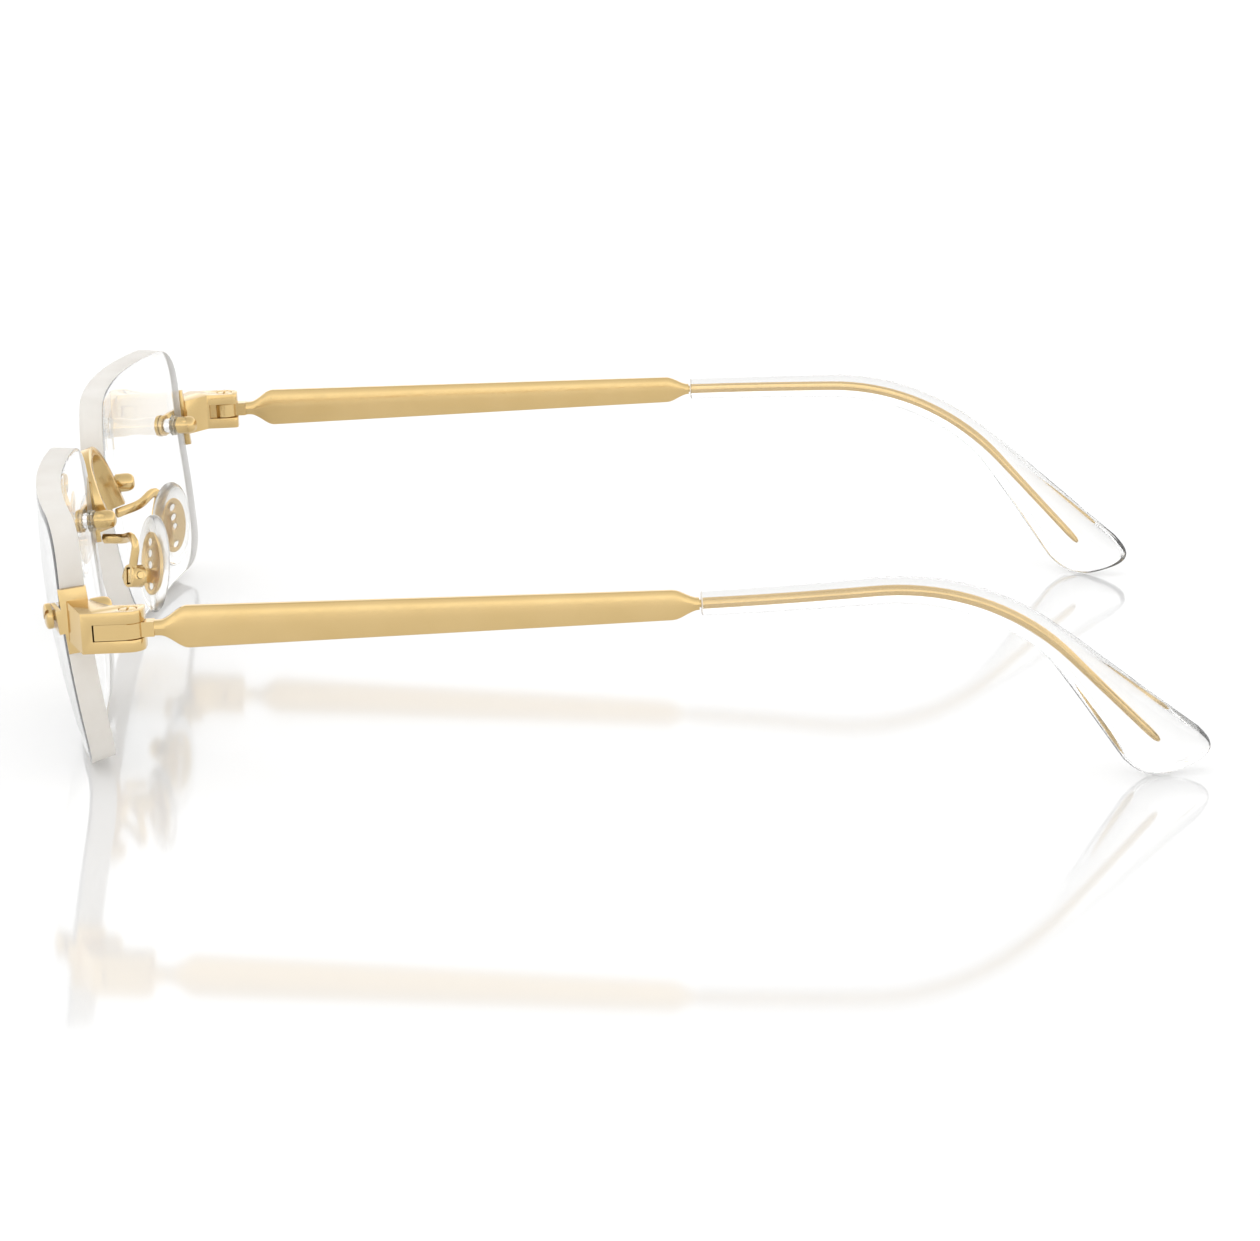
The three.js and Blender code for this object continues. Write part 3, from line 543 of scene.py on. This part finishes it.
def tip_lean(length):
    """How far the tip leans back there, per millimetre of its height."""
    return PADDLE_LEAN * smooth_step((length - PADDLE_START) / (TIP_ROUND_START - PADDLE_START))


acetate, tree, shader = finish_of("clear_acetate", transmission=0.96, ior=1.49)
vary_colour(tree, shader, grain(tree, 60), (0.98, 0.98, 0.975), (0.995, 0.995, 0.99))
vary_roughness(tree, shader, grain(tree, 400), 0.0, 0.04)

full_start = TIP_START + TIP_FRONT_EASE
sections = [tip_section(TIP_START, TIP_FRONT_SHARE), tip_section(full_start)]
for i in range(1, LONG_STEPS + 1):
    sections.append(tip_section(full_start + (TIP_ROUND_START - full_start) * i / LONG_STEPS))
for part in ROUND_SHARES:
    share = (1 - part**ROUND_POWER) ** (1 / ROUND_POWER)
    sections.append(tip_section(TIP_ROUND_START + TIP_ROUND * part, share))
tip = drawn_bar(round_outline(sides=28), sections)
tip.data.materials.append(acetate)
tip.data.materials.append(ground_edge)
for face in tip.data.polygons:
    face.material_index = int(face.center.z < full_start)
bend_behind_ear(tip, tip_lean)
place(tip, HINGE_FRAME)
close_shell(tip, TIP_SMOOTH)
fit_both_sides(tip, "ear_tip", "temple_{}", ["temple_tip"])

# ---------------------------------------------------------------- nose pads
# Soft clear silicone ovals are moulded round a pierced metal core. The core's stem sits in the round box of
# its arm on a small cross screw, so that the pad can rock.
PAD_BOX = Vector((14.183, -67.230, 16.774))
PAD_UP = Vector((-0.31, -0.03, 0.95)).normalized()
PAD_OUT = Vector((-0.55, 0.8, -0.2))
PAD_OUT = (PAD_OUT - PAD_UP * PAD_OUT.dot(PAD_UP)).normalized()
PAD_REACH, PAD_STEM_DROP = 3.2, 1.8
PAD_CENTRE = PAD_BOX + PAD_OUT * PAD_REACH + PAD_UP * PAD_STEM_DROP
PAD_TURN = Matrix((PAD_UP.cross(PAD_OUT), PAD_UP, PAD_OUT)).transposed().to_4x4()
PAD_FRAME = Matrix.Translation(PAD_CENTRE) @ PAD_TURN
PAD_WIDTH, PAD_LENGTH, PAD_THICKNESS = 7.6, 13.8, 2.6
PAD_TAPER, PAD_BELLY, PAD_SMOOTH = 0.1, 2.6, 60
CORE_WIDTH, CORE_LENGTH, CORE_THICKNESS = 4.6, 8.8, 0.4
CORE_RIM, CORE_BREAK, CORE_SHARP = 0.97, 0.06, 50
PIERCING_RADIUS, PIERCING_REACH, PIERCINGS = 0.55, 1, (-3.1, -0.2, 1.4, 3.0)
STEM_THICKNESS, STEM_WIDTH, STEM_FOOT = 0.8, 1.9, 0.9
CROSS_SCREW_PROFILE = [
    (0.46, -1.7), (0.5, -1.64), (0.5, 1.69), (0.85, 1.69), (0.85, 2.0), (0.75, 2.14), (0.5, 2.2),
]
CROSS_SCREW_SLOT = (2, 0.22, 0.4)

silicone, tree, shader = finish_of("clear_silicone", transmission=0.88, ior=1.34)
vary_colour(tree, shader, grain(tree, 300), (0.955, 0.955, 0.945), (0.985, 0.985, 0.975))
vary_roughness(tree, shader, grain(tree, 900), 0.1, 0.22)

bpy.ops.mesh.primitive_uv_sphere_add(segments=56, ring_count=28, radius=1)
pad = bpy.context.object
for vertex in pad.data.vertices:
    x, y, z = vertex.co
    full = (x * x + y * y) ** 0.5
    belly = max(1 - full**PAD_BELLY, 0) ** (1 / PAD_BELLY)
    taper = (1 + PAD_TAPER * y) / (1 + PAD_TAPER)
    vertex.co = (
        x * taper * PAD_WIDTH / 2,
        y * PAD_LENGTH / 2,
        math.copysign(belly, z) * PAD_THICKNESS / 2,
    )
pad.data.materials.append(silicone)
place(pad, PAD_FRAME)
close_shell(pad, PAD_SMOOTH)
fit_both_sides(pad, "silicone_pad", "nose_pad_{}", ["nose_pad"])

half, quarter = CORE_THICKNESS / 2, CORE_THICKNESS / 4
core = turned([(CORE_RIM, -half), (1, -quarter), (1, quarter), (CORE_RIM, half)])
core.data.transform(Matrix.Diagonal((CORE_WIDTH / 2, CORE_LENGTH / 2, 1, 1)))
for height in PIERCINGS:
    piercing = turned([(PIERCING_RADIUS, -PIERCING_REACH), (PIERCING_RADIUS, PIERCING_REACH)], sides=24)
    piercing.data.transform(Matrix.Translation((0, height, 0)))
    combine(core, piercing, "DIFFERENCE")
stem_length = PAD_REACH + STEM_FOOT
stem = box_tool((STEM_THICKNESS, STEM_WIDTH, stem_length), (0, -PAD_STEM_DROP, -stem_length / 2))
combine(core, stem, "UNION")
core.data.materials.append(plated_gold)
break_edges(core, CORE_BREAK, CORE_SHARP)
place(core, PAD_FRAME)
close_shell(core)
fit_both_sides(core, "pierced_core", "nose_pad_{}", ["pad_core"])

cross_screw = turned(CROSS_SCREW_PROFILE, sides=32)
combine(cross_screw, box_tool(CROSS_SCREW_SLOT, (0, 0, CROSS_SCREW_PROFILE[-1][1])), "DIFFERENCE")
cross_screw.data.transform(Matrix.Rotation(math.radians(90), 4, "Y"))
cross_screw.data.transform(Matrix.Translation((0, -PAD_STEM_DROP, -PAD_REACH)))
cross_screw.data.materials.append(plated_gold)
place(cross_screw, PAD_FRAME)
close_shell(cross_screw)
fit_both_sides(cross_screw, "cross_screw", "front", ["pad_screw"])

# ---------------------------------------------------------------- studio
# A white table with a faint gloss stands in an even white surround that is brighter low down. One broad soft
# light hangs over it, and is not seen in the gloss. Sizes here are in metres.
TABLE_SIZE, TABLE_WHITE, TABLE_GLOSS, GLOSS_ROUGHNESS = 12.0, 0.845, 0.32, 0.08
SURROUND_STRENGTH, SURROUND_LOW, SURROUND_TOP = 1.58, 1.0, 0.56
SURROUND_STOPS = ((0.2, 1.0), (0.45, 0.74))
LIGHT_PLACE, LIGHT_SIZE, LIGHT_POWER = (0.5, -0.35, 1.3), 1.2, 4
CAMERA_PLACE = (0.6133, 0.00377, 0.16822)
CAMERA_TURN = (math.radians(90 - 14.76), 0, math.radians(90.16))
CAMERA_SENSOR, CAMERA_LENS, CAMERA_NEAR, CAMERA_FAR = 36, 126.2, 0.01, 50

bpy.ops.mesh.primitive_plane_add(size=TABLE_SIZE)
table = bpy.context.object
table.name = "white_table"
table_top = bpy.data.materials.new("white_table_top")
table_top.use_nodes = True
tree = table_top.node_tree
tree.nodes.remove(tree.nodes["Principled BSDF"])
matt, glossy, mix = (tree.nodes.new(kind) for kind in (
    "ShaderNodeBsdfDiffuse", "ShaderNodeBsdfAnisotropic", "ShaderNodeMixShader"
))
matt.inputs["Color"].default_value = (TABLE_WHITE, TABLE_WHITE, TABLE_WHITE, 1)
glossy.inputs["Roughness"].default_value = GLOSS_ROUGHNESS
mix.inputs["Fac"].default_value = TABLE_GLOSS
tree.links.new(matt.outputs[0], mix.inputs[1])
tree.links.new(glossy.outputs[0], mix.inputs[2])
tree.links.new(mix.outputs[0], tree.nodes["Material Output"].inputs["Surface"])
table.data.materials.append(table_top)

surround = bpy.data.worlds.new("white_surround")
bpy.context.scene.world = surround
surround.use_nodes = True
tree = surround.node_tree
direction = tree.nodes.new("ShaderNodeTexCoord")
split = tree.nodes.new("ShaderNodeSeparateXYZ")
ramp = tree.nodes.new("ShaderNodeValToRGB")
stops = ramp.color_ramp.elements
stops[0].color = (SURROUND_LOW, SURROUND_LOW, SURROUND_LOW, 1)
stops[1].color = (SURROUND_TOP, SURROUND_TOP, SURROUND_TOP, 1)
for position, value in SURROUND_STOPS:
    stops.new(position).color = (value, value, value, 1)
tree.links.new(direction.outputs["Generated"], split.inputs[0])
tree.links.new(split.outputs["Z"], ramp.inputs["Fac"])
tree.links.new(ramp.outputs["Color"], tree.nodes["Background"].inputs["Color"])
tree.nodes["Background"].inputs["Strength"].default_value = SURROUND_STRENGTH

soft_light = bpy.data.lights.new("soft_light", "AREA")
soft_light.shape, soft_light.size, soft_light.energy = "SQUARE", LIGHT_SIZE, LIGHT_POWER
light = bpy.data.objects.new("soft_light", soft_light)
bpy.context.scene.collection.objects.link(light)
light.visible_glossy = False
light.location = LIGHT_PLACE
light.rotation_euler = (-light.location).to_track_quat("-Z", "Y").to_euler()

camera = bpy.data.objects.new("camera", bpy.data.cameras.new("camera"))
bpy.context.scene.collection.objects.link(camera)
camera.location, camera.rotation_euler = CAMERA_PLACE, CAMERA_TURN
camera.data.sensor_width, camera.data.lens = CAMERA_SENSOR, CAMERA_LENS
camera.data.clip_start, camera.data.clip_end = CAMERA_NEAR, CAMERA_FAR
bpy.context.scene.camera = camera
bpy.context.scene.view_settings.view_transform = "Standard"
